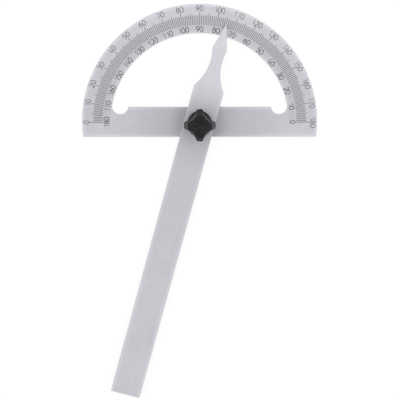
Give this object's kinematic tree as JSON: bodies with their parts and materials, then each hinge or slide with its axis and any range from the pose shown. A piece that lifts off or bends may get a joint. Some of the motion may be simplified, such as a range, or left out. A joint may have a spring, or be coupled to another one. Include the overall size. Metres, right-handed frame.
{
  "type": "bevel protractor",
  "caption": "Half-round protractor plate with a window, a long swinging arm that ends in a spear pointer, and a star knob that clamps the arm at an angle.",
  "frame": {"origin": "on the arm's pivot axis, at the plate's back face", "axes": "+X along the straight base edge towards the 180 mark of the outer scale, +Y from the base edge to the 90 mark at the top of the bow, +Z out of the scale face towards the knob"},
  "size_m": [0.12, 0.2067, 0.015],
  "materials": {
    "plate_steel": "satin chromed steel with dark engraved marks",
    "arm_steel": "satin chromed steel",
    "stud_steel": "plain turned steel",
    "washer_steel": "bright plated steel",
    "knob_plastic": "black moulded plastic with a fine grain",
    "bush_brass": "turned brass"
  },
  "bodies": {
    "plate": {"protractor_plate": "plate_steel", "pivot_stud": "stud_steel"},
    "arm": {"swing_arm": "arm_steel"},
    "washer": {"clamp_washer": "washer_steel"},
    "knob": {"star_knob": "knob_plastic", "knob_bush": "bush_brass"}
  },
  "joints": [
    {"name": "arm_swing", "type": "hinge", "parent": "plate", "child": "arm", "pos_m": [0, 0, 0.00225], "axis": [0, 0, 1], "continuous": true},
    {"name": "clamp_lift", "type": "slide", "parent": "plate", "child": "washer", "axis": [0, 0, 1], "range_m": [0, 0.007]},
    {"name": "knob_turn", "type": "hinge", "parent": "washer", "child": "knob", "pos_m": [0, 0, 0.0124], "axis": [0, 0, 1], "range_deg": [0, 3600]}
  ],
  "couplings": [
    {"joint": "knob_turn", "follows": "clamp_lift", "rad_per_m": 8976}
  ]
}
